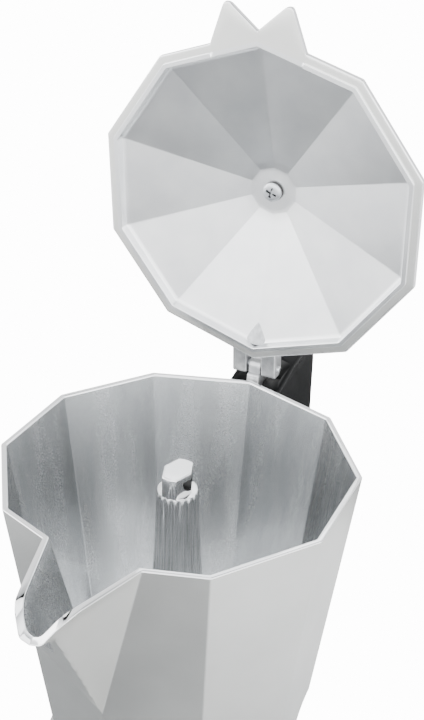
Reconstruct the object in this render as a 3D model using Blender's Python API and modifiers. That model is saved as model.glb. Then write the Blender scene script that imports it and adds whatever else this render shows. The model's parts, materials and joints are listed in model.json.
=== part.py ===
"""Stove-top moka pot, ten-sided, lid open.

Frame: metres, +Z up, origin at the centre of the boiler's base.  The spout points to -X and the
hinge and handle to +X.  The decagon's corners lie at 0, 36, 72 ... degrees from +X.
Sizes below are in millimetres; mm() turns them to metres.
"""
from math import cos, pi, radians, sin

import bmesh
import bpy
from mathutils import Matrix, Vector

# ---------------------------------------------------------------- driving dimensions (mm)
SIDES = 10                 # facets of the cast bodies
ROUND = 40                 # facets of the turned bodies
GAP = 0.3                  # clearance between neighbouring pieces

RIM_R = 64.0               # corner radius of the collector's rim
RIM_Z = 209.0              # height of the rim above the stove
WALL = 2.07                # collector wall, measured at a corner
TAPER = 0.13               # loss of corner radius per millimetre down
WAIST_Z = 111.1            # where the collector's wall turns in
COLLAR_R = 47.1            # round collar at the collector's foot
COLLAR_TOP = 97.3
COLLAR_Z = 91.6            # lower edge of the collar
FLOOR_Z = 111.5            # collector's inner floor
RECESS_Z = 108.0           # ceiling of the recess under the floor
SKIRT_R = 43.3             # bore of the collar

BASE_R = 61.5              # corner radius of the boiler's base
SHOULDER_R = 54.0
SHOULDER_Z = 73.0
SEAT_R = 46.0              # round ring at the foot of the neck
SEAT_Z = 91.2
NECK_R = 41.7
NECK_BORE = 38.3
NECK_Z = 101.0
BASE_THICK = 4.0

THREAD_PITCH = 4.0
THREAD_DEPTH = 0.75
THREAD_TURNS = 1.75

BASKET_R = 37.7            # outside of the coffee basket
SHEET = 0.9                # its sheet thickness
BASKET_FLOOR = 80.6
TUBE_R = 4.8
TUBE_BORE = 4.0
TUBE_FOOT = 6.5

# Spout: points of one side, (x, y, height from the rim)
SPOUT_LIP = ((-58.43, 17.6, 0.0), (-84.2, 8.7, 0.0), (-88.2, 7.2, -1.6), (-91.5, 3.2, -7.2))
CHANNEL_LIP = ((-45.0, 14.0), (-56.4, 16.22), (-84.2, 6.62), (-96.0, 1.9))
SPOUT_FOOT_X = -54.9       # where the spout's keel meets the wall
SPOUT_FOOT_DROP = 69.1

COLUMN_CAP_R = 6.85
COLUMN_FLAT = 5.0          # half distance between the cap's flats
COLUMN_TOP = 205.2
COLUMN_SHOULDER = 197.2
COLUMN_BORE = 3.5
OUTLET_HALF = 3.2
FLUTES = 20

HINGE_X = 69.3
HINGE_Z = 213.47
LID_OPEN = 86.7            # degrees between closed and the open stop
LID_R = 64.24
LID_SEAT = RIM_Z + GAP     # underside of the closed lid's flange
LID_THICK = 2.4
LAND_R = 9.5               # flat in the middle of the lid
LAND_Z = 17.9              # its underside above the rim
POST_HALF = 2.56           # half width of the hinge post
EAR_IN, EAR_OUT = 3.2, 9.0
PIN_R = 1.3

VALVE_Z = 46.0
BOSS_Y = 56.2              # distance of the boss's face from the pot's axis
HANDLE_HALF = 11.0
HANDLE_PIN = (77.0, 195.5)


def mm(*values):
    """Turn millimetres to metres."""
    scaled = tuple(v * 0.001 for v in values)
    return scaled if len(scaled) > 1 else scaled[0]


# ---------------------------------------------------------------- scene helpers
def clear_scene():
    for obj in list(bpy.data.objects):
        bpy.data.objects.remove(obj, do_unlink=True)


def new_collection(name):
    coll = bpy.data.collections.new(name)
    bpy.context.scene.collection.children.link(coll)
    return coll


def principled(name, rgb, metallic, roughness):
    mat = bpy.data.materials.new(name)
    mat.use_nodes = True
    shader = mat.node_tree.nodes["Principled BSDF"]
    shader.inputs["Base Color"].default_value = (*rgb, 1.0)
    shader.inputs["Metallic"].default_value = metallic
    shader.inputs["Roughness"].default_value = roughness
    return mat


clear_scene()
POT = new_collection("moka_pot")
TOOLS = new_collection("cutters")

CAST = principled("cast_aluminium", (0.58, 0.58, 0.58), 1.0, 0.34)
POLISHED = principled("polished_aluminium", (0.62, 0.62, 0.62), 1.0, 0.18)
SHEET_METAL = principled("pressed_aluminium", (0.60, 0.60, 0.60), 1.0, 0.30)
STEEL = principled("zinc_plated_steel", (0.50, 0.51, 0.52), 1.0, 0.28)
BRASS = principled("brass", (0.60, 0.42, 0.16), 1.0, 0.32)
RUBBER = principled("white_rubber", (0.72, 0.70, 0.64), 0.0, 0.60)
PLASTIC = principled("black_plastic", (0.02, 0.022, 0.024), 0.0, 0.38)


def place(mesh, name, material=None, parent=None):
    """Put a mesh in the scene: a part if it has a material, and a hidden tool if it has none."""
    obj = bpy.data.objects.new(name, mesh)
    if material is None:
        TOOLS.objects.link(obj)
        obj.hide_render = True
        obj.display_type = "WIRE"
    else:
        POT.objects.link(obj)
        mesh.materials.append(material)
    obj.parent = parent
    return obj


def axis_empty(name, location, rotation=(0.0, 0.0, 0.0)):
    """An empty on a joint's axis, which carries the pieces that turn or slide there."""
    empty = bpy.data.objects.new(name, None)
    POT.objects.link(empty)
    empty.location = location
    empty.rotation_euler = rotation
    return empty


# ---------------------------------------------------------------- modelling helpers
def turned(name, profile, steps=ROUND, material=None, parent=None, spin=0.0):
    """Turn a profile of (radius, height) points, top to bottom on the outside, about Z.

    spin, in degrees, keeps a tool's corners off the corners of the piece that it cuts.
    """
    mesh = bpy.data.meshes.new(name)
    verts = [mm(r, 0.0, z) for r, z in profile]
    on_axis = profile[0][0] == 0.0
    edges = [(i, i + 1) for i in range(len(verts) - 1)]
    if not on_axis:
        edges.append((len(verts) - 1, 0))
    mesh.from_pydata(verts, edges, [])
    obj = place(mesh, name, material, parent)
    screw = obj.modifiers.new("turn", "SCREW")
    screw.steps = screw.render_steps = steps
    screw.use_merge_vertices = True
    screw.merge_threshold = 0.00001
    screw.use_smooth_shade = steps > SIDES
    obj.rotation_euler.z = radians(spin)
    return obj


def prism(name, outline, depth, material=None, parent=None, upright=True):
    """Extrude a flat outline by depth: upright outlines are (x, z), flat ones are (x, y)."""
    curve = bpy.data.curves.new(name, "CURVE")
    curve.dimensions = "2D"
    curve.fill_mode = "BOTH"
    curve.extrude = mm(depth) / 2
    spline = curve.splines.new("POLY")
    spline.points.add(len(outline) - 1)
    for point, (x, y) in zip(spline.points, outline):
        point.co = (*mm(x, y), 0.0, 1.0)
    spline.use_cyclic_u = True
    turn = Matrix.Rotation(pi / 2, 4, "X") if upright else Matrix.Identity(4)
    return curve_to_part(curve, name, material, parent, turn)


def curve_to_part(curve, name, material, parent, matrix=None):
    """Turn a curve to a closed mesh, with its caps welded on."""
    source = bpy.data.objects.new(name + "_curve", curve)
    TOOLS.objects.link(source)
    evaluated = source.evaluated_get(bpy.context.evaluated_depsgraph_get())
    mesh = bpy.data.meshes.new_from_object(evaluated)
    mesh.name = name
    if matrix is not None:
        mesh.transform(matrix)
    bm = bmesh.new()
    bm.from_mesh(mesh)
    bmesh.ops.remove_doubles(bm, verts=bm.verts, dist=0.00001)
    bmesh.ops.recalc_face_normals(bm, faces=bm.faces)
    bm.to_mesh(mesh)
    bm.free()
    mesh.materials.clear()
    bpy.data.objects.remove(source, do_unlink=True)
    return place(mesh, name, material, parent)


def hull(name, points, material=None):
    """The convex hull of a few corner points."""
    bm = bmesh.new()
    for point in points:
        bm.verts.new(mm(*point))
    result = bmesh.ops.convex_hull(bm, input=bm.verts)
    loose = {v for v in result["geom_interior"] if isinstance(v, bmesh.types.BMVert)}
    bmesh.ops.delete(bm, geom=list(loose), context="VERTS")
    bmesh.ops.recalc_face_normals(bm, faces=bm.faces)
    mesh = bpy.data.meshes.new(name)
    bm.to_mesh(mesh)
    bm.free()
    return place(mesh, name, material)


def pegs(name, places, radius, depth, segments=ROUND, axis="Z"):
    """A tool of equal cylinders: centres in millimetres, all along one axis."""
    turn = Matrix.Rotation(pi / 2, 4, "X") if axis == "Y" else Matrix.Identity(4)
    bm = bmesh.new()
    for centre in places:
        bmesh.ops.create_cone(bm, cap_ends=True, segments=segments, radius1=mm(radius),
                              radius2=mm(radius), depth=mm(depth),
                              matrix=Matrix.Translation(mm(*centre)) @ turn)
    mesh = bpy.data.meshes.new(name)
    bm.to_mesh(mesh)
    bm.free()
    return place(mesh, name)


def block(name, low, high):
    """A box tool between two corners."""
    bm = bmesh.new()
    bmesh.ops.create_cube(bm, size=1.0)
    size = Vector(mm(*high)) - Vector(mm(*low))
    centre = (Vector(mm(*high)) + Vector(mm(*low))) / 2
    bmesh.ops.scale(bm, vec=size, verts=bm.verts)
    bmesh.ops.translate(bm, vec=centre, verts=bm.verts)
    mesh = bpy.data.meshes.new(name)
    bm.to_mesh(mesh)
    bm.free()
    return place(mesh, name)


def loft(name, rings, material=None):
    """A closed body through rings of equally many points, first ring at the top."""
    bm = bmesh.new()
    loops = [[bm.verts.new(mm(*point)) for point in ring] for ring in rings]
    count = len(loops[0])
    for upper, lower in zip(loops, loops[1:]):
        for i in range(count):
            j = (i + 1) % count
            bm.faces.new((upper[i], lower[i], lower[j], upper[j]))
    bm.faces.new(loops[0])
    bm.faces.new(list(reversed(loops[-1])))
    bmesh.ops.recalc_face_normals(bm, faces=bm.faces)
    mesh = bpy.data.meshes.new(name)
    bm.to_mesh(mesh)
    bm.free()
    return place(mesh, name, material)


def thread(name, root, crest, top, turns, steps_per_turn=ROUND):
    """A helical ridge of triangular section that fades out at both ends."""
    steps = int(turns * steps_per_turn)
    half = THREAD_PITCH * 0.36
    rings = []
    for i in range(steps + 1):
        angle = 2 * pi * (i + 0.25) / steps_per_turn
        z = top - THREAD_PITCH * i / steps_per_turn
        fade = min(1.0, i / 4, (steps - i) / 4)
        tip = root + (crest - root) * max(fade, 0.05)
        ring = [(root, z + half), (tip, z), (root, z - half)]
        rings.append([(r * cos(angle), r * sin(angle), h) for r, h in ring])
    return loft(name, rings)


def combine(target, operation, *tools):
    """Add a Boolean modifier to the target for each tool."""
    for tool in tools:
        boolean = target.modifiers.new(tool.name, "BOOLEAN")
        boolean.operation = operation
        boolean.solver = "EXACT"
        boolean.object = tool
    return target


def arc(cx, cy, radius, start, stop, count):
    """Points on a circle from start to stop, in degrees."""
    angles = (radians(start + (stop - start) * i / (count - 1)) for i in range(count))
    return [(cx + radius * cos(a), cy + radius * sin(a)) for a in angles]


def ring_profile(r_in, r_out, low, high):
    return [(r_out, high), (r_out, low), (r_in, low), (r_in, high)]


def hole_pattern(spacing, rings):
    """A centre hole and rings of 6, 12, 18 ... holes about it."""
    points = [(0.0, 0.0)]
    for ring in range(1, rings + 1):
        count = 6 * ring
        points += [(spacing * ring * cos(2 * pi * i / count), spacing * ring * sin(2 * pi * i / count))
                   for i in range(count)]
    return points


# ---------------------------------------------------------------- boiler
def make_boiler():
    boiler = turned("boiler", [(0.0, 88.0), (48.5, 88.0), (SHOULDER_R, SHOULDER_Z), (BASE_R, 3.0),
                               (BASE_R - 2.0, 0.0), (0.0, 0.0)], SIDES, CAST)
    seat = turned("boiler_seat", [(0.0, SEAT_Z), (SEAT_R, SEAT_Z), (SEAT_R, 80.0), (0.0, 80.0)])
    neck = turned("boiler_neck", [(0.0, NECK_Z), (NECK_R - 0.6, NECK_Z), (NECK_R, NECK_Z - 0.6),
                                  (NECK_R, 82.0), (0.0, 82.0)])
    ridge = thread("boiler_thread", NECK_R - 0.4, NECK_R + THREAD_DEPTH, NECK_Z - 1.7, THREAD_TURNS)
    boss = pegs("boiler_boss", [(0.0, -(BOSS_Y - 4.0), VALVE_Z)], 9.5, 8.0, 28, "Y")
    cavity = turned("boiler_cavity", [(0.0, NECK_Z + 1.0), (NECK_BORE, NECK_Z + 1.0),
                                      (NECK_BORE, 86.0), (48.5, 73.5), (55.0, 9.0),
                                      (50.5, BASE_THICK), (0.0, BASE_THICK)], spin=3.0)
    valve_hole = pegs("boiler_valve_hole", [(0.0, -BOSS_Y, VALVE_Z)], 5.0, 21.0, 20, "Y")
    combine(boiler, "UNION", boss, seat, neck)
    combine(boiler, "DIFFERENCE", cavity, valve_hole)
    combine(boiler, "UNION", ridge)


# ---------------------------------------------------------------- safety valve (along -Y)
def make_valve():
    """Heights here are distances from the pot's axis, outwards along -Y."""
    axis = axis_empty("valve_axis", mm(0.0, 0.0, VALVE_Z), (pi / 2, 0.0, 0.0))
    face = BOSS_Y + GAP
    turned("valve_washer", ring_profile(5.2, 7.6, face, face + 1.0), 24, RUBBER, axis)

    hexagon = face + 1.0 + GAP
    barrel_end = hexagon + 8.4
    body = turned("valve_body", [(0.0, hexagon + 4.6), (8.0, hexagon + 4.6), (8.0, hexagon),
                                 (0.0, hexagon)], 6, BRASS, axis)
    barrel = turned("valve_barrel", [(0.0, barrel_end), (5.4, barrel_end), (5.4, hexagon + 2.0),
                                     (4.7, hexagon + 2.0), (4.7, 49.0), (0.0, 49.0)], 24, None, axis)
    seat = 52.5
    bore = turned("valve_bore", [(0.0, barrel_end + 1.0), (3.0, barrel_end + 1.0), (3.0, seat + 1.2),
                                 (1.3, seat), (1.3, 48.0), (0.0, 48.0)], 24, None, axis)
    combine(body, "UNION", barrel)
    combine(body, "DIFFERENCE", bore)

    cone = seat + 0.5
    tip = barrel_end + 3.6
    turned("valve_plunger", [(0.0, tip), (0.7, tip), (0.95, tip - 0.4), (0.95, cone + 2.6),
                             (2.5, cone + 2.2), (2.5, cone + 1.1), (1.1, cone), (0.0, cone)],
           16, STEEL, axis)
    turned("valve_cap", ring_profile(1.35, 5.3, barrel_end + GAP, barrel_end + GAP + 0.8),
           24, STEEL, axis)

    coils, per_coil = 5, 10
    low, high = cone + 3.2, barrel_end - 0.5
    count = coils * per_coil + 1
    curve = bpy.data.curves.new("valve_spring", "CURVE")
    curve.dimensions = "3D"
    curve.bevel_depth = mm(0.3)
    curve.bevel_resolution = 2
    curve.use_fill_caps = True
    spline = curve.splines.new("POLY")
    spline.points.add(count - 1)
    for i, point in enumerate(spline.points):
        angle = 2 * pi * i / per_coil
        height = low + (high - low) * i / (count - 1)
        point.co = (*mm(2.1 * cos(angle), 2.1 * sin(angle), height), 1.0)
    curve_to_part(curve, "valve_spring", STEEL, axis)


# ---------------------------------------------------------------- funnel, gasket, filter plate
def make_funnel():
    rim_low = NECK_Z + GAP
    rim_high = rim_low + SHEET
    inner = BASKET_R - SHEET
    cone_low = BASKET_FLOOR - 8.6
    turned("funnel_basket", [(41.0, rim_high), (41.0, rim_low), (BASKET_R, rim_low),
                             (BASKET_R, BASKET_FLOOR - 1.1), (TUBE_R + 1.2, cone_low),
                             (TUBE_R + 1.2, cone_low - 2.0), (TUBE_R + GAP, cone_low - 2.0),
                             (TUBE_R + GAP, cone_low + 0.7), (inner, BASKET_FLOOR - 0.4),
                             (inner, rim_high)], ROUND, SHEET_METAL)
    turned("funnel_tube", ring_profile(TUBE_BORE, TUBE_R, TUBE_FOOT, cone_low - 0.5), 24, SHEET_METAL)
    screen = turned("funnel_screen", [(0.0, BASKET_FLOOR + 0.8), (inner - GAP, BASKET_FLOOR + 0.8),
                                      (inner - GAP, BASKET_FLOOR), (0.0, BASKET_FLOOR)],
                    ROUND, SHEET_METAL)
    holes = pegs("screen_holes", [(x, y, BASKET_FLOOR) for x, y in hole_pattern(9.5, 3)], 1.0, 6.0, 8)
    combine(screen, "DIFFERENCE", holes)
    return rim_high


def make_seals(rim_high):
    low = rim_high + GAP
    high = low + 3.8
    turned("gasket", ring_profile(35.0, 42.4, low, high), ROUND, RUBBER)
    flange = high + GAP
    plate = turned("filter_plate", [(0.0, flange - 2.4), (32.8, flange - 2.4), (33.8, flange + 0.8),
                                    (39.0, flange + 0.8), (39.0, flange), (34.4, flange),
                                    (33.5, flange - 3.2), (0.0, flange - 3.2)], ROUND, SHEET_METAL)
    holes = pegs("plate_holes", [(x, y, flange - 3.0) for x, y in hole_pattern(9.0, 3)], 1.0, 6.0, 8)
    combine(plate, "DIFFERENCE", holes)


# ---------------------------------------------------------------- collector
def spout_bodies():
    """The spout's outer wedge and the channel cut into it, in heights from the rim.

    The lip runs level from each root to its corner, then dips through a shoulder to the tip.
    """
    outer = [(-45.0, 0.0, -55.0), (SPOUT_FOOT_X, 0.0, -SPOUT_FOOT_DROP)]
    inner = [(-45.0, 0.0, -52.0), (SPOUT_FOOT_X + 2.1, 0.0, 5.0 - SPOUT_FOOT_DROP)]
    for side in (-1, 1):
        outer += [(x, side * y, z) for x, y, z in SPOUT_LIP]
        outer.append((-45.0, side * 17.0, 0.0))
        inner += [(x, side * y, z) for x, y in CHANNEL_LIP for z in (0.0, 5.0)]
        inner.append((-95.0, side * 1.5, -3.6))
    return hull("spout_wedge", from_rim(outer)), hull("spout_channel", from_rim(inner))


def from_rim(points):
    """Count heights from the stove instead of from the rim."""
    return [(x, y, z + RIM_Z) for x, y, z in points]


def flip(point, side):
    return point[0], point[1] * side


def fin_outline():
    """Hinge post and handle fin: an outline in (x, z) on the collector's corner at +X."""
    post = arc(HINGE_X, HINGE_Z, 2.9, 180.0, 0.0, 9)
    return [(59.4, RIM_Z - 24.0), (62.2, RIM_Z - 1.0), (65.2, RIM_Z - 1.0), (65.2, RIM_Z + 2.2),
            (66.4, RIM_Z + 2.6)] + post + [(72.6, RIM_Z - 3.0), (84.0, RIM_Z - 9.0),
                                           (84.0, RIM_Z - 18.0), (78.0, RIM_Z - 24.0)]


def make_collector():
    foot_r = RIM_R - TAPER * (RIM_Z - WAIST_Z)
    rim_in = RIM_R - WALL
    bend = FLOOR_Z + 3.5
    collector = turned("collector", [(0.0, RIM_Z), (RIM_R, RIM_Z), (foot_r, WAIST_Z),
                                     (47.4, COLLAR_TOP), (0.0, COLLAR_TOP)], SIDES, CAST)
    collar = turned("collector_collar", [(0.0, COLLAR_TOP + 1.2), (COLLAR_R, COLLAR_TOP + 1.2),
                                         (COLLAR_R, COLLAR_Z), (0.0, COLLAR_Z)])
    fin = prism("collector_fin", fin_outline(), 2 * POST_HALF)
    wedge, channel = spout_bodies()
    cavity = turned("collector_cavity", [(0.0, RIM_Z + 1.0), (rim_in + TAPER, RIM_Z + 1.0),
                                         (rim_in - TAPER * (RIM_Z - bend), bend),
                                         (46.0, FLOOR_Z), (0.0, FLOOR_Z)], SIDES)
    recess = turned("collector_recess", [(0.0, FLOOR_Z + 1.0), (5.6, FLOOR_Z + 1.0), (5.6, RECESS_Z),
                                         (SKIRT_R, RECESS_Z), (SKIRT_R, COLLAR_Z - 1.0),
                                         (0.0, COLLAR_Z - 1.0)], spin=3.0)
    ridge = thread("collector_thread", SKIRT_R + 0.4, SKIRT_R - 0.5, NECK_Z - 0.7, THREAD_TURNS)
    pin_hole = pegs("collector_pin_hole", [(HINGE_X, 0.0, HINGE_Z)], PIN_R + GAP, 20.0, 16, "Y")
    handle_hole = pegs("collector_handle_hole", [(HANDLE_PIN[0], 0.0, HANDLE_PIN[1])], 1.9, 20.0, 16,
                       "Y")
    combine(collector, "UNION", collar, fin, wedge)
    combine(collector, "DIFFERENCE", cavity, channel, recess, pin_hole, handle_hole)
    combine(collector, "UNION", ridge)


def make_column():
    """Fluted column: the radius swells towards the floor, and each flute is a shallow valley."""
    stations = [(COLUMN_SHOULDER, 7.46), (182.8, 8.0), (168.7, 8.64), (155.0, 9.4), (140.0, 10.4),
                (125.0, 11.8), (FLOOR_Z + GAP, 13.6)]
    rings = []
    for z, radius in stations:
        ring = []
        for i in range(2 * FLUTES):
            angle = pi * i / FLUTES
            r = radius - (0.6 if i % 2 else 0.0)
            ring.append((r * cos(angle), r * sin(angle), z))
        rings.append(ring)
    column = loft("riser_column", rings, POLISHED)
    cap = turned("column_cap", [(0.0, COLUMN_TOP), (COLUMN_CAP_R - 0.6, COLUMN_TOP),
                                (COLUMN_CAP_R, COLUMN_TOP - 0.6), (COLUMN_CAP_R, 190.0), (0.0, 190.0)],
                 32)
    spigot = turned("column_spigot", [(0.0, 120.0), (5.3, 120.0), (5.3, RECESS_Z + GAP),
                                      (0.0, RECESS_Z + GAP)], 24)
    duct = turned("column_duct", [(0.0, COLUMN_TOP - 2.0), (COLUMN_BORE, COLUMN_TOP - 2.0),
                                  (COLUMN_BORE + 0.6, 105.0), (0.0, 105.0)], 24)
    flats = [block("column_flat_left", (-9.0, COLUMN_FLAT, COLUMN_SHOULDER), (9.0, 9.0, COLUMN_TOP + 1.0)),
             block("column_flat_right", (-9.0, -9.0, COLUMN_SHOULDER),
                   (9.0, -COLUMN_FLAT, COLUMN_TOP + 1.0))]
    outlet = prism("column_outlet", [(OUTLET_HALF, COLUMN_TOP - 2.0), (-OUTLET_HALF, COLUMN_TOP - 2.0)]
                   + arc(0.0, COLUMN_SHOULDER + 0.3 + OUTLET_HALF, OUTLET_HALF, 180.0, 360.0, 9), 20.0)
    combine(column, "UNION", cap, spigot)
    combine(column, "DIFFERENCE", duct, *flats, outlet)


# ---------------------------------------------------------------- handle
def handle_outline():
    """Side view of the handle, in (x, z) with z counted from the rim."""
    head = [(67.0, -27.0), (65.8, -9.0), (65.8, -4.2), (82.6, 0.6)]
    shoulder = arc(92.2, -11.8, 14.0, 96.0, 8.0, 8)
    grip = [(106.2, -34.0), (108.4, -64.0), (112.6, -92.0)]
    tip = arc(106.4, -93.0, 6.6, 10.0, -170.0, 7)
    palm = [(93.2, -62.0), (88.6, -44.0)] + arc(78.0, -41.0, 10.0, 0.0, 76.0, 5)
    return [(x, z + RIM_Z) for x, z in head + shoulder + grip + tip + palm]


def make_handle():
    handle = prism("handle", handle_outline(), 2 * HANDLE_HALF, PLASTIC)
    slot = block("handle_slot", (60.0, -POST_HALF - 0.4, RIM_Z - 24.6),
                 (84.6, POST_HALF + 0.4, RIM_Z + 10.0))
    well = prism("handle_well", [(60.0, RIM_Z + 12.0), (60.0, RIM_Z - 2.4), (74.2, RIM_Z - 2.4),
                                 (80.5, RIM_Z + 12.0)], 19.0)
    corner = [hull(f"handle_front_{name}", [(x, side * y, RIM_Z + z) for z in (-60.0, 20.0)
                                            for x, y in ((50.0, -1.0), (65.4, -1.0), (50.0, 30.0),
                                                         (55.4, 30.0))])
              for name, side in (("left", 1), ("right", -1))]
    hole = pegs("handle_pin_hole", [(HANDLE_PIN[0], 0.0, HANDLE_PIN[1])], 1.9, 40.0, 16, "Y")
    combine(handle, "DIFFERENCE", slot, well, *corner, hole)
    pin = axis_empty("handle_pin_axis", mm(HANDLE_PIN[0], 0.0, HANDLE_PIN[1]), (pi / 2, 0.0, 0.0))
    half = HANDLE_HALF - 0.3
    turned("handle_pin", [(0.0, half), (1.3, half), (1.6, half - 0.3), (1.6, 0.3 - half),
                          (1.3, -half), (0.0, -half)], 16, STEEL, pin)


# ---------------------------------------------------------------- lid (drawn shut, then opened)
def lid_profile():
    seat, top = LID_SEAT - RIM_Z, LID_SEAT - RIM_Z + LID_THICK
    lip_out, lip_in = 61.1, 59.3
    points = [(0.0, LAND_Z + 2.3), (LAND_R + 0.4, LAND_Z + 2.3), (58.6, top + 2.3), (60.4, top),
              (LID_R, top), (LID_R, seat), (lip_out, seat), (lip_out, seat - 0.8),
              (lip_in, seat - 0.8), (lip_in - 0.4, seat + 2.2), (57.9, 3.2), (LAND_R, LAND_Z),
              (0.0, LAND_Z)]
    return [(r, z + RIM_Z) for r, z in points]


def make_lid():
    hinge = axis_empty("lid_axis", mm(HINGE_X, 0.0, HINGE_Z), (0.0, radians(LID_OPEN), 0.0))
    shut = mm(-HINGE_X, 0.0, -HINGE_Z)

    def on_lid(obj):
        obj.parent = hinge
        obj.location = shut
        return obj

    lid = on_lid(turned("lid", lid_profile(), SIDES, CAST))
    half_tab = [(-54.0, 18.4), (-58.9, 17.7), (-72.6, 13.1), (-73.9, 12.4), (-73.9, 10.6)]
    tab_outline = half_tab + [(-65.2, 0.0)] + [flip(p, -1) for p in reversed(half_tab)]
    tab = prism("lid_tab", tab_outline, 2.2, upright=False)
    on_lid(tab).data.transform(Matrix.Translation(mm(0.0, 0.0, LID_SEAT + 1.1)))
    ear_outline = ([(56.0, RIM_Z + 3.2), (65.0, HINGE_Z + 3.2)]
                   + arc(HINGE_X, HINGE_Z, 3.2, 90.0, 0.0, 5)
                   + [(72.3, RIM_Z + 1.2), (71.6, RIM_Z + 0.5), (60.0, RIM_Z + 0.5)])
    ears = []
    for name, side in (("left", 1), ("right", -1)):
        ear = prism(f"lid_ear_{name}", ear_outline, EAR_OUT - EAR_IN)
        ear.data.transform(Matrix.Translation(mm(0.0, side * (EAR_OUT + EAR_IN) / 2, 0.0)))
        ears.append(on_lid(ear))
    boss = hull("lid_boss", [(58.4, y, RIM_Z + z) for y in (-4.7, 4.7) for z in (1.4, 3.9)]
                + [(51.0, 0.0, RIM_Z + 5.9), (58.2, 0.0, RIM_Z + 1.0), (51.6, 0.0, RIM_Z + 4.7)])
    screw_hole = pegs("lid_screw_hole", [(0.0, 0.0, RIM_Z + LAND_Z)], 2.4, 12.0, 16)
    pin_hole = pegs("lid_pin_hole", [(HINGE_X, 0.0, HINGE_Z)], PIN_R + GAP, 30.0, 16, "Y")
    combine(lid, "UNION", tab, *ears, on_lid(boss))
    combine(lid, "DIFFERENCE", on_lid(screw_hole), on_lid(pin_hole))

    base = RIM_Z + LAND_Z + 2.3 + GAP
    knob = on_lid(turned("knob", [(0.0, base + 22.4), (9.5, base + 21.6), (13.4, base + 18.6),
                                  (13.8, base + 16.4), (8.6, base + 2.4), (9.2, base), (0.0, base)],
                         SIDES, PLASTIC))
    knob_hole = on_lid(pegs("knob_hole", [(0.0, 0.0, base)], 2.3, 28.0, 16))
    combine(knob, "DIFFERENCE", knob_hole)

    head = RIM_Z + LAND_Z - GAP
    screw = on_lid(turned("knob_screw", [(0.0, base + 12.8), (2.0, base + 12.8), (2.0, head),
                                         (3.78, head), (3.78, head - 1.2), (3.0, head - 2.0),
                                         (0.0, head - 2.3)], 24, STEEL))
    cross = [on_lid(block(f"knob_screw_slot_{i}", (-a, -b, head - 4.0), (a, b, head - 1.1)))
             for i, (a, b) in enumerate(((2.1, 0.45), (0.45, 2.1)))]
    combine(screw, "DIFFERENCE", *cross)


def make_hinge_pin():
    axis = axis_empty("hinge_pin_axis", mm(HINGE_X, 0.0, HINGE_Z), (pi / 2, 0.0, 0.0))
    half = EAR_OUT + 0.7
    turned("hinge_pin", [(0.0, half), (PIN_R - 0.3, half), (PIN_R, half - 0.3), (PIN_R, 0.3 - half),
                         (PIN_R - 0.3, -half), (0.0, -half)], 16, STEEL, axis)


make_boiler()
make_valve()
make_seals(make_funnel())
make_collector()
make_column()
make_handle()
make_lid()
make_hinge_pin()
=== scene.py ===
"""Looks of the ten-sided stove-top moka pot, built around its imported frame.

Lengths are in millimetres until build_mesh turns them to metres.  The spout points to -X, the hinge
and handle to +X and the safety valve to -Y, and the pot stands on z = 0.  Every new piece is a surface
worked out with numpy: a radius as a function of angle and height, or a profile carried along a path.
"""
import json

import bmesh
import bpy
import numpy as np
from mathutils import Matrix, Vector
from mathutils.geometry import delaunay_2d_cdt


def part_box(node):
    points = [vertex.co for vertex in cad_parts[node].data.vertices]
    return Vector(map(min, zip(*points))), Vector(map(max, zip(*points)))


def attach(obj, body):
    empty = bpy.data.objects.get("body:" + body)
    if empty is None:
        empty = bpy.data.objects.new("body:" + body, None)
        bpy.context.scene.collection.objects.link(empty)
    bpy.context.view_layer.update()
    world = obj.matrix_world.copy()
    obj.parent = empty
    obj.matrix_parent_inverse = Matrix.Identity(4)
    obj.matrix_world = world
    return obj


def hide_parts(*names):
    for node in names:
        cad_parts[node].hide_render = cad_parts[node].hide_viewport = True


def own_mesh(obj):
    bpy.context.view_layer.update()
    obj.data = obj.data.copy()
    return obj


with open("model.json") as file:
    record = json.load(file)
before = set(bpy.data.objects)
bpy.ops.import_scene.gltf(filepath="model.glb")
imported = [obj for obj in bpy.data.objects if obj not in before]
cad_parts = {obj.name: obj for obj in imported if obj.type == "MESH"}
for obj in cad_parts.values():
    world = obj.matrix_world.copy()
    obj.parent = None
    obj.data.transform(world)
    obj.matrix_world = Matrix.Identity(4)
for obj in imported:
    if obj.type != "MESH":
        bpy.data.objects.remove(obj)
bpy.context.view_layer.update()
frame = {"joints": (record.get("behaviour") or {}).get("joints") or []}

MM = 0.001
SIDES = 10
STEP = 2 * np.pi / SIDES
HALF_STEP = STEP / 2
SHARP = np.radians(32)       # edges that turn more than this are shaded as edges
WELD = 0.000002              # points closer than this are one point, in metres
FILLET = 0.026               # ridge fillet of the cast decagons, as a share of the corner radius
FILLET_MIDDLE = 1.0 - FILLET / np.cos(HALF_STEP)
FILLET_SPAN = np.arctan2(FILLET * np.sin(HALF_STEP), FILLET_MIDDLE + FILLET * np.cos(HALF_STEP))


# ---- places read from the frame (mm)
def heights_of(node):
    """Heights of a node's lowest and highest point."""
    low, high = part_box(node)
    return low[2] / MM, high[2] / MM


LID_HINGE = next(joint for joint in frame["joints"] if joint["name"] == "lid_hinge")
HINGE = np.array(LID_HINGE["pos_m"]) / MM
LID_OPEN = -np.radians(LID_HINGE["range_deg"][0])
COLUMN_TOP = heights_of("riser_column")[1]
COLLAR_Z = heights_of("collector")[0]
NECK_Z = heights_of("boiler")[1]

RIM_Z = COLUMN_TOP + 3.8
RIM_R = 64.0                 # corner radius of the collector's rim
WALL = 2.07                  # between the corner radii outside and inside
TAPER = 0.13                 # corner radius lost per millimetre down
WAIST_Z = RIM_Z - 97.9
FLOOR_Z = RIM_Z - 97.5


def linked(name, data):
    """A new object for the data, in the scene."""
    obj = bpy.data.objects.new(name, data)
    bpy.context.scene.collection.objects.link(obj)
    return obj


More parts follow.
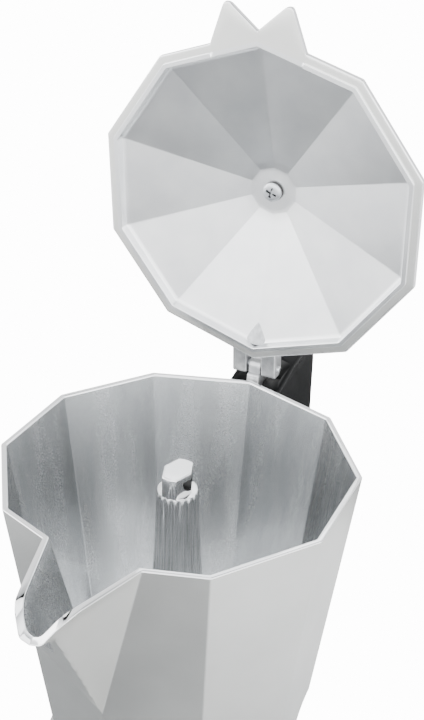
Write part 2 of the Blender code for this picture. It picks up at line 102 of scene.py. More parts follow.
# ---- camera
def place_camera():
    """A short telephoto lens, a little above the rim, on the spout's right."""
    forward = Vector((0.80523, 0.40272, -0.43522))
    right = Vector((0.45030, -0.89285, 0.00695))
    up = right.cross(forward)
    lens = bpy.data.cameras.new("camera")
    lens.lens = 54.56
    lens.sensor_width = 36.0
    lens.shift_x = 0.0360
    lens.shift_y = -0.0678
    lens.clip_start = 0.01
    camera = linked("camera", lens)
    turn = Matrix((right, up, -forward)).transposed().to_4x4()
    camera.matrix_world = Matrix.Translation((-0.28543, -0.14556, 0.42166)) @ turn
    bpy.context.scene.camera = camera


place_camera()


# ---- colours and nodes
def tint(code):
    """An sRGB hex colour as linear RGBA."""
    srgb = np.array([int(code[i:i + 2], 16) for i in (1, 3, 5)]) / 255.0
    linear = np.where(srgb <= 0.04045, srgb / 12.92, ((srgb + 0.055) / 1.055) ** 2.4)
    return (*linear.tolist(), 1.0)


def add(tree, kind, inputs=None, **settings):
    """Add a node, set its properties, and set or link its inputs by name or number."""
    made = tree.nodes.new(kind)
    for key, value in settings.items():
        setattr(made, key, value)
    for key, value in (inputs or {}).items():
        if isinstance(value, bpy.types.NodeSocket):
            tree.links.new(value, made.inputs[key])
        else:
            made.inputs[key].default_value = value
    return made


def new_finish(name, metallic, roughness):
    """A material with its node tree, its shader and the object coordinates."""
    material = bpy.data.materials.new(name)
    material.use_nodes = True
    tree = material.node_tree
    shader = tree.nodes["Principled BSDF"]
    shader.inputs["Metallic"].default_value = metallic
    shader.inputs["Roughness"].default_value = roughness
    place = add(tree, "ShaderNodeTexCoord").outputs["Object"]
    return material, tree, shader, place


def stretched(tree, place, scale):
    """Object coordinates scaled by axis, so that a pattern runs long one way."""
    return add(tree, "ShaderNodeMapping", {"Vector": place, "Scale": scale}).outputs["Vector"]


def noise(tree, vector, size_mm, detail, rough):
    """Noise whose lumps are about size_mm across."""
    made = add(tree, "ShaderNodeTexNoise",
               {"Vector": vector, "Scale": 1000.0 / size_mm, "Detail": detail, "Roughness": rough})
    return made.outputs["Fac"]


def product(tree, first, second):
    """One value times another."""
    return add(tree, "ShaderNodeMath", {0: first, 1: second}, operation="MULTIPLY").outputs["Value"]


def between(tree, value, low, high, start=0.35, stop=0.65):
    """Map a pattern's middle range to low ... high."""
    made = add(tree, "ShaderNodeMapRange", {"Value": value, "From Min": start, "From Max": stop,
                                            "To Min": low, "To Max": high})
    return made.outputs["Result"]


def two_tone(tree, value, first, second, start=0.3, stop=0.7):
    """Mix two hex colours by a pattern, from start to stop."""
    ramp = add(tree, "ShaderNodeValToRGB", {"Fac": value})
    for element, code, position in zip(ramp.color_ramp.elements, (first, second), (start, stop)):
        element.color = tint(code)
        element.position = position
    return ramp.outputs["Color"]


def bumps(tree, shader, height, depth_mm, under=None):
    """Raise the surface by a pattern, depth_mm from its lowest to its highest."""
    inputs = {"Height": height, "Distance": depth_mm * MM, "Strength": 1.0}
    if under is not None:
        inputs["Normal"] = under
    made = add(tree, "ShaderNodeBump", inputs)
    tree.links.new(made.outputs["Normal"], shader.inputs["Normal"])
    return made.outputs["Normal"]


def metal(name, dark, light, rough, grain_mm, grain_depth, cloud_mm=18.0, drift=(1.0, 1.0, 1.0),
          lines=None):
    """A bare metal: slow clouds in its colour and sheen, and a fine grain; lines add brushing.

    drift stretches the clouds, and lines is (axis scales, width in mm, depth in mm): in both, a small
    scale makes the pattern long that way.
    """
    material, tree, shader, place = new_finish(name, 1.0, rough)
    clouds = noise(tree, stretched(tree, place, drift), cloud_mm, 4.0, 0.55)
    tree.links.new(two_tone(tree, clouds, dark, light), shader.inputs["Base Color"])
    grain = noise(tree, place, grain_mm, 3.0, 0.6)
    sheen = between(tree, product(tree, clouds, grain), rough * 0.92, rough * 1.10, 0.12, 0.40)
    tree.links.new(sheen, shader.inputs["Roughness"])
    normal = bumps(tree, shader, grain, grain_depth)
    if lines is not None:
        scales, width, depth = lines
        strokes = noise(tree, stretched(tree, place, scales), width, 3.0, 0.65)
        bumps(tree, shader, strokes, depth, normal)
    return material


def moulded(name, dark, light, rough, grain_mm, grain_depth, ior=1.5, gloss=0.5):
    """A moulded or pressed non-metal: nearly even colour, a soft sheen and a fine peel."""
    material, tree, shader, place = new_finish(name, 0.0, rough)
    shader.inputs["IOR"].default_value = ior
    shader.inputs["Specular IOR Level"].default_value = gloss
    clouds = noise(tree, place, 9.0, 3.0, 0.55)
    tree.links.new(two_tone(tree, clouds, dark, light), shader.inputs["Base Color"])
    tree.links.new(between(tree, clouds, rough * 0.85, rough * 1.15), shader.inputs["Roughness"])
    bumps(tree, shader, noise(tree, place, grain_mm, 3.0, 0.6), grain_depth)
    return material


# Die-cast aluminium, linished and tumbled: an even pale satin with a grain of about 0.4 mm, drawn
# coarser than the real 0.1 mm so that it shows.
SATIN = metal("satin_cast_aluminium", "#e9e9e6", "#f1f1ee", 0.33, 0.45, 0.0015, cloud_mm=26.0)
# Inside of the same casting: long soft strokes of the linishing belt, up and down the facets.
BRUSHED = metal("brushed_cast_aluminium", "#d8dadb", "#ebeced", 0.26, 0.5, 0.0006, cloud_mm=9.0,
                drift=(1.0, 1.0, 0.12), lines=((1.0, 1.0, 0.05), 0.8, 0.0012))
# Underside of the lid: cast against the die and lightly blasted, with soft clouds.
LID_INSIDE = metal("blasted_cast_aluminium", "#e8e9eb", "#f3f4f4", 0.30, 0.5, 0.002, cloud_mm=14.0)
# Rim and lip, machined and buffed: nearly a mirror, with hairlines along the cut.
BUFFED = metal("buffed_aluminium", "#e4e5e6", "#ededed", 0.08, 0.5, 0.0005,
               lines=((1.0, 1.0, 6.0), 0.4, 0.001))
# Riser column: die-cast and barrel polished, brighter on its ribs.
POLISHED = metal("polished_aluminium", "#e2e3e3", "#f0f0f0", 0.14, 0.5, 0.001)
# Spun sheet of the basket, tube and filter: fine rings and a satin sheen.
SPUN = metal("spun_aluminium_sheet", "#e2e3e3", "#ecedec", 0.28, 0.5, 0.001,
             lines=((1.0, 1.0, 8.0), 0.4, 0.002))
# Bright zinc on steel: bluish, with a faint crystalline sparkle.
ZINC = metal("zinc_plated_steel", "#c6c9cc", "#d6d8db", 0.34, 0.35, 0.001, cloud_mm=4.0)
# Turned brass: warm yellow, with the lathe's fine rings.
BRASS = metal("turned_brass", "#c9a155", "#dcbc72", 0.24, 0.4, 0.001, cloud_mm=6.0)
# Glass-filled phenolic: black, with a shallow orange peel and little sheen.
PHENOLIC = moulded("black_phenolic", "#050606", "#0a0b0c", 0.32, 0.9, 0.003, 1.5, 0.16)
# The casting's gate mark, left as it came from the mould: dull, darker and coarse.
AS_CAST = metal("as_cast_aluminium", "#9a9c9e", "#c4c6c8", 0.50, 0.7, 0.03, cloud_mm=2.5)
# The hinge's small castings, tumbled but not linished.
TUMBLED = metal("tumbled_cast_aluminium", "#b4b5b7", "#d0d1d2", 0.40, 0.6, 0.006, cloud_mm=2.5)
# Painted shade: a near-black finish standing in for the shade in deep recesses, namely the column's outlets,
# the screw's cross and the gap round the screw's head.
RECESS_SHADE = moulded("painted_recess_shade", "#0b0c0c", "#1a1b1c", 0.60, 0.8, 0.01)
# Vulcanised fibre and white silicone rubber.
FIBRE = moulded("red_fibre", "#6e2a20", "#84382a", 0.62, 0.35, 0.03)
RUBBER = moulded("white_silicone", "#d9d5c8", "#e6e2d6", 0.52, 0.6, 0.02, 1.42)


# ---- meshes from grids
def build_mesh(name, verts, faces, finishes, finish_of_face=None):
    """Weld points in millimetres and their faces into a closed mesh with its faces outwards."""
    mesh = bpy.data.meshes.new(name)
    mesh.from_pydata((np.asarray(verts, float) * MM).tolist(), [], faces)
    for material in finishes:
        mesh.materials.append(material)
    if finish_of_face is not None:
        mesh.polygons.foreach_set("material_index", np.asarray(finish_of_face, np.int32))
    bm = bmesh.new()
    bm.from_mesh(mesh)
    bmesh.ops.remove_doubles(bm, verts=bm.verts, dist=WELD)
    bmesh.ops.dissolve_degenerate(bm, edges=bm.edges, dist=WELD / 4)
    if bm.calc_volume(signed=True) < 0.0:
        bmesh.ops.reverse_faces(bm, faces=bm.faces)
    bm.to_mesh(mesh)
    bm.free()
    mesh.shade_smooth()
    mesh.set_sharp_from_angle(angle=SHARP)
    return linked(name, mesh)


def ring_faces(rows, cols):
    """Quads between neighbouring rows of a grid whose columns close on themselves."""
    row = np.arange(rows - 1)[:, None] * cols
    col = np.arange(cols)[None, :]
    after = (col + 1) % cols
    quads = np.stack([row + col, row + after, row + cols + after, row + cols + col], axis=-1)
    return quads.reshape(-1, 4).tolist()


def wrap_surface(name, grid, finishes, row_finish=None, closed=False):
    """Skin a grid of points (rows, columns, 3) whose columns close round.

    closed joins the last row to the first; otherwise each end row is closed by a fan to its middle.
    row_finish gives the finish's number for the band that starts at each row.
    """
    rows, cols = grid.shape[:2]
    if closed:
        grid = np.concatenate([grid, grid[:1]])
        rows += 1
    verts = grid.reshape(-1, 3)
    faces = ring_faces(rows, cols)
    bands = np.zeros(rows - 1, int) if row_finish is None else np.asarray(row_finish)[:rows - 1]
    numbers = np.repeat(bands, cols).tolist()
    if not closed:
        middles = np.stack([grid[0].mean(axis=0), grid[-1].mean(axis=0)])
        verts = np.concatenate([verts, middles])
        last = (rows - 1) * cols
        pole = rows * cols
        faces += [(pole, (i + 1) % cols, i) for i in range(cols)]
        faces += [(pole + 1, last + i, last + (i + 1) % cols) for i in range(cols)]
        numbers += [int(bands[0])] * cols + [int(bands[-1])] * cols
    return build_mesh(name, verts, faces, finishes, numbers)


def full_turn(count):
    """Evenly spaced angles round a circle, as a row."""
    return np.linspace(0.0, 2 * np.pi, count, endpoint=False)[None, :]


def shares(count):
    """Evenly spaced shares from 0 to 1, as a column."""
    return np.linspace(0.0, 1.0, count)[:, None]


def soften(points, cut, count=4, closed=False):
    """Round each corner of a flat line: a parabola replaces the last `cut` of both its sides.

    cut is one length or one for each point; a side gives up at most 0.45 of itself at each end.
    """
    points = np.asarray(points, float)
    cuts = np.broadcast_to(np.asarray(cut, float), len(points))
    total = len(points)
    out = []
    for i, corner in enumerate(points):
        if not closed and i in (0, total - 1) or cuts[i] == 0.0:
            out.append(corner[None])
            continue
        back = points[i - 1] - corner
        ahead = points[(i + 1) % total] - corner
        reach_back = min(1.0, cuts[i] / max(np.linalg.norm(back), 1e-9))
        reach_ahead = min(1.0, cuts[i] / max(np.linalg.norm(ahead), 1e-9))
        start = corner + back * min(reach_back, 0.45)
        stop = corner + ahead * min(reach_ahead, 0.45)
        t = shares(count + 1)
        out.append(start * (1 - t) ** 2 + 2 * corner * t * (1 - t) + stop * t ** 2)
    return np.concatenate(out)


def refined(line, spacing):
    """The same line with extra points, no further apart than the spacing."""
    pieces = []
    for start, stop in zip(line[:-1], line[1:]):
        count = int(np.ceil(np.linalg.norm(stop - start) / spacing)) + 1
        pieces.append(start + (stop - start) * np.linspace(0.0, 1.0, count, endpoint=False)[:, None])
    return np.concatenate(pieces + [line[-1:]])


def decagon(phi):
    """Radius of a decagon of corner radius 1, with rounded corners, at the angle phi.

    Near a corner it is the far side of the fillet circle, r = c cos a + sqrt(f^2 - (c sin a)^2), and
    on a facet it is the apothem over the cosine of the angle from the facet's middle.
    """
    local = (np.asarray(phi) + HALF_STEP) % STEP - HALF_STEP
    inner = np.sqrt(np.maximum(FILLET ** 2 - (FILLET_MIDDLE * np.sin(local)) ** 2, 0.0))
    facet = np.cos(HALF_STEP) / np.cos(HALF_STEP - np.abs(local))
    return np.where(np.abs(local) < FILLET_SPAN, FILLET_MIDDLE * np.cos(local) + inner, facet)


def decagon_columns(flats=4):
    """Column angles: close together on the fillets, with a support column beside each."""
    near = np.linspace(-1.0, 1.0, 9) * FILLET_SPAN
    support = 1.8 * FILLET_SPAN
    side = np.linspace(support, HALF_STEP, flats)
    local = np.concatenate([-side[1:], [-support], near, [support], side[1:-1]])
    return np.sort((np.arange(SIDES)[:, None] * STEP + local).ravel() % (2 * np.pi))


def carried(grid, place):
    """Points moved and turned by a 4 x 4 placement."""
    return grid @ place[:3, :3].T + place[:3, 3]


class Rows:
    """The rows of a skin round the Z axis, with the finish's number of the band after each."""

    def __init__(self, phi):
        self.phi = phi
        self.radii, self.heights, self.finish = [], [], []

    def add(self, radius, height, number=0):
        """Add one row or several."""
        radius, height = np.broadcast_arrays(np.atleast_2d(radius), np.atleast_2d(height))
        self.radii.append(radius + 0.0 * self.phi)
        self.heights.append(height + 0.0 * self.phi)
        self.finish += [number] * len(self.radii[-1])

    def line(self, points, number=0, plan=1.0):
        """Add a profile of (radius, height), with its radii multiplied by the plan."""
        points = np.asarray(points, float)
        self.add(points[:, :1] * plan, points[:, 1:], number)

    def grid(self):
        """All the rows as points of shape (rows, columns, 3)."""
        radius, height = np.concatenate(self.radii), np.concatenate(self.heights)
        return np.stack([radius * np.cos(self.phi), radius * np.sin(self.phi), height], axis=-1)


def turned(name, profile, finish, columns=72, place=None, closed=False):
    """Turn a profile of (radius, height) about Z, and lay it in its place if it has one."""
    skin = Rows(full_turn(columns))
    skin.line(profile)
    grid = skin.grid() if place is None else carried(skin.grid(), place)
    return wrap_surface(name, grid, [finish], closed=closed)


def plate(name, outline, half, edge, finish, place=None, steps=4):
    """A flat plate: its outline (x, z) carried across Y, drawn in by a quarter circle at both faces."""
    outline = np.asarray(outline, float)
    ahead = np.roll(outline, -1, axis=0) - outline
    ahead /= np.maximum(np.linalg.norm(ahead, axis=1, keepdims=True), 1e-9)
    mean = ahead + np.roll(ahead, 1, axis=0)
    mean /= np.maximum(np.linalg.norm(mean, axis=1, keepdims=True), 1e-9)
    inward = np.stack([-mean[:, 1], mean[:, 0]], axis=1)
    x, z = outline.T
    area = np.sum(x * np.roll(z, -1) - np.roll(x, -1) * z)
    inward *= np.sign(area)
    angle = np.linspace(0.0, np.pi / 2, steps + 1)
    inset = edge * (1 - np.sin(angle))
    across = half - edge * (1 - np.cos(angle))
    inset = np.concatenate([inset, inset[::-1]])
    across = np.concatenate([-across, across[::-1]])
    flat = outline[None] + inset[:, None, None] * inward[None]
    grid = np.stack([flat[..., 0], np.broadcast_to(across[:, None], flat.shape[:2]), flat[..., 1]], axis=-1)
    rows, cols = grid.shape[:2]
    if place is not None:
        grid = carried(grid, place)
    faces = ring_faces(rows, cols)
    faces.append(list(range(cols))[::-1])
    faces.append([(rows - 1) * cols + i for i in range(cols)])
    return build_mesh(name, grid.reshape(-1, 3), faces, [finish])


def matrix_array(matrix):
    """A mathutils matrix as a numpy array."""
    return np.array([list(row) for row in matrix])


def along_y(x, z):
    """A placement that lays the Z axis along -Y, through (x, z)."""
    return matrix_array(Matrix.Translation((x, 0.0, z)) @ Matrix.Rotation(np.pi / 2, 4, "X"))


def paint_shade(obj, inside):
    """Give the piece's second finish, its painted shade, to the faces whose middles (x, y, z) are inside."""
    faces = obj.data.polygons
    middle = np.empty(3 * len(faces), np.float32)
    faces.foreach_get("center", middle)
    number = np.empty(len(faces), np.int32)
    faces.foreach_get("material_index", number)
    number[inside(*(middle.reshape(-1, 3).T / MM))] = 1
    faces.foreach_set("material_index", number)


def finished(obj, body, slot, *nodes):
    """Ride the piece on its body and hide the nodes that it stands for; slot is not used."""
    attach(obj, body)
    if nodes:
        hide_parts(*nodes)
    return obj


def arc(cx, cy, radius, start, stop, count):
    """Points on a circle, from start to stop in degrees."""
    angle = np.radians(np.linspace(start, stop, count))
    return np.stack([cx + radius * np.cos(angle), cy + radius * np.sin(angle)], axis=1)


def make_pin(name, radius, half, x, z, node):
    """A plain pin across the pot through (x, z), with eased ends."""
    ease, end = radius - 0.3, half - 0.4
    side = [(0.0, half), (ease, half), (radius, end), (radius, -end), (ease, -half), (0.0, -half)]
    pin = turned(name, soften(side, [0, 0.3, 0.2, 0.2, 0.3, 0], 4), ZINC, 40, along_y(x, z))
    finished(pin, "collector", "plated_steel", node)


# ---- collector
# One side of the spout's lip, (distance forward, half width, height from the rim)
LIP = np.array([(58.43, 17.6, 0.0), (81.6, 10.4, 0.0), (85.6, 9.2, -0.6), (88.6, 7.3, -2.2),
                (90.4, 5.5, -4.6), (92.1, 3.8, -7.0), (92.4, 0.0, -7.8)])
LIP_FOOT = np.array((54.9, 0.0, -69.1))
# The two flat sides and the flat nose under the lip, which flares out from them
SPOUT_SIDES = np.array([(58.43, 17.6, 0.0), (89.9, 6.1, -3.7), (89.9, 0.0, -3.7)])
FLARE_HEIGHT = 4.2
CHANNEL = np.array([(56.4, 16.22, 0.0), (82.6, 7.5, -0.1), (85.6, 6.0, -1.2), (87.9, 4.3, -3.6),
                    (89.6, 2.4, -6.0), (89.9, 0.0, -6.6)])
CHANNEL_FOOT = np.array((52.8, 0.0, -64.1))
SPOUT_SPAN = np.radians(17.4)    # the spout's columns lie within this of -X
THREAD_PITCH = 4.0
THREAD_TURNS = 1.75
THREAD_DEPTH = 0.75


def soft_max(a, b, width):
    """The larger of two radii, rounded over a band of the given width."""
    near = np.clip(width - np.abs(a - b), 0.0, None) / width
    return np.maximum(a, b) + near ** 2 * width / 4


def soft_min(a, b, width):
    """The smaller of two radii, rounded over a band of the given width."""
    return -soft_max(-a, -b, width)


def rounded(line, cut):
    """One side of the lip with its corners rounded."""
    return soften(line, np.r_[0.0, np.full(len(line) - 2, cut), 0.0], 8)


def cone_radius(turn, height, edge, foot):
    """Reach of a spout surface at an angle `turn` from -X and a height from the rim.

    The surface is a many-sided cone from the foot to the edge's points: each side is a plane through
    the foot and two of them, its reach is (n.foot - n_z height) / (n_x cos + n_y sin), and the least
    reach of all the sides is the surface.
    """
    side = np.abs(turn)
    reach = np.full(np.broadcast(turn, height).shape, 1e3)
    for start, stop in zip(edge[:-1], edge[1:]):
        normal = np.cross(stop - start, foot - start)
        normal *= np.sign(normal[0])
        slope = normal[0] * np.cos(side) + normal[1] * np.sin(side)
        one = (normal @ foot - normal[2] * height) / np.where(slope > 1e-6, slope, 1e-6)
        reach = np.minimum(reach, np.where(slope > 1e-6, one, 1e3))
    return np.where(side < 1.05 * SPOUT_SPAN, reach, 0.0)


def reach_at(turn, line):
    """Reach of a fine line at an angle from its middle; past its root it is 0."""
    angle = np.arctan2(line[:, 1], line[:, 0])
    order = np.argsort(angle)
    return np.interp(np.abs(turn), angle[order], np.hypot(line[:, 0], line[:, 1])[order], right=0.0)


def crease_height(turn, lip, foot):
    """Height from the rim at which the spout leaves the wall, at an angle from -X.

    The crease is the straight line from the foot to the lip's root; beyond the root it is the rim.
    """
    line = foot + shares(60) * (lip[0] - foot)
    return np.interp(np.abs(turn), np.arctan2(line[:, 1], line[:, 0]), line[:, 2])


def helix_ridge(phi, height, top):
    """Depth of a triangular thread ridge: a helix of the thread's pitch that fades out at its ends."""
    along = (top - height) / THREAD_PITCH
    nearest = np.round(along - phi / (2 * np.pi))
    offset = np.abs(along - phi / (2 * np.pi) - nearest)
    count = nearest + phi / (2 * np.pi)
    fade = np.clip(count / 0.12, 0.0, 1.0) * np.clip((THREAD_TURNS - count) / 0.12, 0.0, 1.0)
    return THREAD_DEPTH * fade * np.clip(1.0 - offset / 0.38, 0.0, 1.0)


def collector_columns():
    """Decagon columns, with closer ones across the spout."""
    regular = decagon_columns()
    regular = regular[np.abs(regular - np.pi) > SPOUT_SPAN * 1.01]
    v = np.linspace(-1.0, 1.0, 81)
    spout = np.pi + SPOUT_SPAN * np.sign(v) * np.abs(v) ** 1.25
    return np.sort(np.concatenate([regular, spout]))


def make_collector():
    """The jug: wall, spout, rim, floor, collar and thread in one skin, closed both ways.

    The outer and inner radii are r = soft_max(decagon of the tapered wall, spout cone).  Rows of the
    grid follow the crease between them, and the top rows follow the lip.
    """
    phi = collector_columns()[None, :]
    turn = phi - np.pi
    facets = decagon(phi)
    outer_edge = 0.4
    inner_edge = 0.7

    def wall_rows(line, sides, foot, low, corner, edge, blend):
        """Rows from the low end of the wall to the lip, split at the crease."""
        fine = refined(line, 0.3)[::-1]
        reach = reach_at(turn, fine)
        top = np.interp(np.abs(turn), np.arctan2(fine[:, 1], fine[:, 0]), fine[:, 2]) - edge
        crease = np.minimum(crease_height(turn, line, foot), top)
        below = 1 - (1 - shares(30)) ** 2.0
        above = 0.5 - 0.5 * np.cos(np.pi * shares(31)[1:])
        height = np.concatenate([low + (crease - low) * below, crease + (top - crease) * above])
        radius = soft_max((corner + TAPER * height) * facets, cone_radius(turn, height, sides, foot), blend)
        flare = np.clip(reach - radius[-1:], 0.0, None)
        return radius + flare * np.clip(1 - (top - height) / FLARE_HEIGHT, 0.0, 1.0) ** 2, height

    lip = rounded(LIP, 1.2)
    channel = rounded(CHANNEL, 1.5)
    outer_r, outer_z = wall_rows(lip, rounded(SPOUT_SIDES, 0.4), LIP_FOOT, WAIST_Z - RIM_Z,
                                 RIM_R, outer_edge, 0.5)
    inner_r, inner_z = wall_rows(channel, channel, CHANNEL_FOOT, FLOOR_Z + 5.0 - RIM_Z,
                                 RIM_R - WALL, inner_edge, 0.8)
    outer_z += RIM_Z
    inner_z += RIM_Z
    quarter = np.pi / 2 * shares(5)[1:]

    skin = Rows(phi)
    # outer wall upwards, over the rim, and down the inside
    skin.add(outer_r, outer_z, 0)
    skin.finish[-1] = 2
    skin.add(outer_r[-1] - outer_edge * (1 - np.cos(quarter)), outer_z[-1] + outer_edge * np.sin(quarter), 2)
    quarter = quarter[::-1]
    skin.add(inner_r[-1] + inner_edge * (1 - np.cos(quarter)), inner_z[-1] + inner_edge * np.sin(quarter), 2)
    skin.add(inner_r[::-1], inner_z[::-1], 1)
    # fillet to the floor, and the floor to its middle hole
    sweep = np.pi / 2 * shares(9)[1:]
    bend = inner_z[0] - FLOOR_Z
    skin.add(inner_r[0] - bend * (1 - np.cos(sweep)), inner_z[0] - bend * np.sin(sweep), 1)
    share = shares(8)[1:]
    skin.add((inner_r[0] - bend) * (1 - share) + 16.0 * share, FLOOR_Z, 1)
    # the hole, then the recess for the seals
    under = FLOOR_Z - 3.5
    skin.line([(5.9, FLOOR_Z), (5.6, FLOOR_Z - 0.3), (5.6, under + 0.3), (5.9, under), (20.0, under),
               (38.0, under), (42.5, under), (43.1, under)], 1)
    # threaded skirt and collar
    skirt = np.linspace(RIM_Z - 101.3, COLLAR_Z + 0.6, 90)[:, None]
    skin.add(43.3 - helix_ridge(phi, skirt, RIM_Z - 108.7), skirt, 1)
    foot = soften([(43.3, COLLAR_Z + 0.6), (43.6, COLLAR_Z), (46.6, COLLAR_Z), (47.1, COLLAR_Z + 0.6),
                   (47.1, RIM_Z - 112.0)], 0.3, 3)
    skin.line(foot[1:])
    # shoulder from the round collar to the decagon
    share = shares(9)[1:-1]
    corner = 47.3 * (1 - share) + (RIM_R + TAPER * (WAIST_Z - RIM_Z)) * share
    skin.add(corner * (facets * share + (1 - share)), RIM_Z - 111.8 + 13.9 * share)

    jug = wrap_surface("collector_jug", skin.grid(), [SATIN, BRUSHED, BUFFED], skin.finish, closed=True)
    finished(jug, "collector", "cast_aluminium", "collector")


def make_hinge_post():
    """Fin under the handle's head and the knuckle above the rim, cast with the jug at its +X corner."""
    x, z = HINGE[0], HINGE[2] - RIM_Z
    foot = [(60.2, -24.0), (62.0, -1.4), (64.6, -1.4), (65.0, 1.6), (66.3, 2.2)]
    knuckle = arc(x, z, 2.9, 176.0, -6.0, 15)
    back = [(72.4, -3.0), (84.0, -9.0), (84.0, -18.0), (78.0, -24.0)]
    outline = np.concatenate([soften(foot, 0.5), knuckle, soften(back, 0.8)])
    outline[:, 1] += RIM_Z
    post = plate("hinge_post", outline, 2.5, 0.45, TUMBLED)
    finished(post, "collector", "cast_aluminium")


# ---- riser column
def make_column():
    """A ribbed cone that swells to the floor, and a cap with two flats and an outlet on each side.

    The ribs are r = R(z) - d ((1 - cos 18a) / 2)^1.3.  The cap's plan is the lesser of the column's round
    and four planes, and each outlet pushes the flats in to the duct.
    """
    top = COLUMN_TOP
    shoulder = top - 8.0
    ribs = 18
    rib_depth = 0.38              # at the cap
    flat = 4.96                   # distance of each flat from the axis
    lean = np.radians(20.5)       # its turn from the Y direction
    half_hole = 3.5
    round_over = 0.55
    hole_edge = np.arctan2(half_hole, 3.99)
    side = np.pi / 2
    fine = np.linspace(-1.0, 1.0, 41) * hole_edge
    lips = np.array([-1.015, 1.015]) * hole_edge
    around = full_turn(ribs * 12)[0]
    dense = np.concatenate([side + fine, side + lips, -side + fine, -side + lips]) % (2 * np.pi)
    gap = np.abs((around[:, None] - dense[None, :] + np.pi) % (2 * np.pi) - np.pi).min(axis=1)
    phi = np.sort(np.concatenate([around[gap > 0.006], dense]))[None, :]

    stations = np.array([(-93.7, 13.9), (-84.0, 11.9), (-69.0, 10.4), (-54.0, 9.4), (-40.3, 8.64),
                         (-26.2, 8.0), (-12.2, 7.5)])
    rise = np.linspace(-97.2, -12.9, 60)[:, None]
    radius = np.interp(rise, np.r_[-97.2, stations[:, 0]], np.r_[14.8, stations[:, 1]])
    smooth = np.array([0.25, 0.5, 0.25])
    for _ in range(12):
        radius[1:-1, 0] = np.convolve(radius[:, 0], smooth, "valid")
    wave = 0.5 - 0.5 * np.cos(ribs * phi)
    deeper = np.interp(rise, [-97.2, -60.0, -12.2], [1.1, 1.0, rib_depth])
    skin = Rows(phi)
    skin.add(radius - deeper * wave ** 1.3, rise + RIM_Z)

    planes = np.full_like(phi, 1e3)
    for normal in (side - lean, side + lean, -side - lean, -side + lean):
        facing = np.cos(phi - normal)
        planes = np.minimum(planes, np.where(facing > 0.2, flat / np.maximum(facing, 0.2), 1e3))

    def plan(z):
        """Radius of the cap at a height: ribs that fade upwards, cut by the flats."""
        share = np.clip((z - shoulder) / (top - shoulder), 0.0, 1.0)
        ribbed = 7.5 - 0.35 * share - rib_depth * wave ** 1.3 * (1 - share) ** 1.5
        return soft_min(ribbed, planes, 0.15)

    skin.line([(7.25, shoulder - 0.55), (7.10, shoulder - 0.16), (6.80, shoulder)])
    outline = plan(top - 4.0)
    x = np.abs(outline * np.cos(phi))
    inside = x < half_hole * 1.001
    arch = half_hole - np.sqrt(np.maximum(half_hole ** 2 - np.minimum(x, half_hole) ** 2, 0.0))
    low = shoulder + 0.9 + arch
    high = top - 2.6
    duct = 1.0 / np.maximum(np.abs(np.sin(phi)), 0.4)
    for z, pushed in ((shoulder + 0.02, False), (shoulder + 0.3, False), (low - 0.06, False), (low, True),
                      (low * 0.7 + high * 0.3, True), (low * 0.3 + high * 0.7, True), (high, True),
                      (high + 0.06, False), (top - round_over, False)):
        face = plan(z)
        skin.add(np.where(inside & pushed, np.minimum(face, duct), face), z)
    outline = plan(top)
    angle = np.radians([[25.0], [50.0], [72.0], [90.0]])
    skin.add(outline - round_over * (1 - np.cos(angle)), top - round_over * (1 - np.sin(angle)))
    skin.add(outline * 0.45, top)
    column = wrap_surface("fluted_column", skin.grid(), [POLISHED, RECESS_SHADE])
    # the faces round each outlet's duct get the painted shade, near-black
    paint_shade(column, lambda x, y, z: (np.abs(x) < half_hole + 0.1) & (np.hypot(x, y) < 4.4)
          & (z > shoulder + 1.0) & (z < top - 1.0))
    finished(column, "collector", "polished_aluminium", "riser_column")


# ---- boiler
def make_boiler():
    """Ten-sided tank with a round seat and a threaded neck; outside, mouth and inside in one skin."""
    phi = decagon_columns(5)[None, :]
    facets = decagon(phi)
    outside = soften([(0.0, 0.6), (46.0, 0.6), (50.0, 0.0), (59.3, 0.0), (61.5, 2.6), (54.0, 73.0),
                      (48.9, 86.6), (47.6, 88.2)], [0, 2, 2, 1.2, 1.5, 3, 2, 0], 5)
    weight = np.clip((88.6 - outside[:, 1:]) / 3.0, 0.0, 1.0) * np.clip(outside[:, :1] / 30.0, 0, 1)
    seat = soften([(46.2, 88.8), (46.0, 91.2), (42.4, 91.2), (41.7, 91.8)], 0.5, 4)
    neck = np.linspace(92.0, NECK_Z - 0.8, 100)[:, None]
    mouth = soften([(41.7, NECK_Z - 0.8), (41.7, NECK_Z), (38.3, NECK_Z), (38.3, NECK_Z - 0.8),
                    (38.3, 87.0)], 0.5, 4)
    inside = soften([(38.3, 86.0), (47.0, 75.0), (48.8, 71.0), (55.0, 9.0), (50.5, 4.0), (0.0, 4.0)],
                    [0, 3, 3, 3, 3, 0], 6)
    skin = Rows(phi)
    skin.line(outside, 0, facets * weight + 1 - weight)
    skin.line(seat)
    skin.finish[-1] = 1
    skin.add(41.7 + helix_ridge(phi, neck, NECK_Z - 1.7), neck, 1)
    skin.line(mouth[1:], 1)
    skin.line(inside, 1)
    tank = wrap_surface("boiler_tank", skin.grid(), [SATIN, BRUSHED], skin.finish)
    finished(tank, "boiler", "cast_aluminium", "boiler")

    face = 56.2
    boss = soften([(0.0, face), (8.8, face), (9.5, face - 0.8), (10.2, face - 6.5), (0.0, face - 6.5)],
                  [0, 0.6, 0.6, 0, 0], 4)
    pad = turned("valve_boss", boss, SATIN, 64, VALVE_PLACE)
    finished(pad, "boiler", "cast_aluminium")


# ---- safety valve
VALVE_PLACE = along_y(0.0, 46.0)
VALVE_FACE = 56.5            # the washer's seat, from the pot's axis


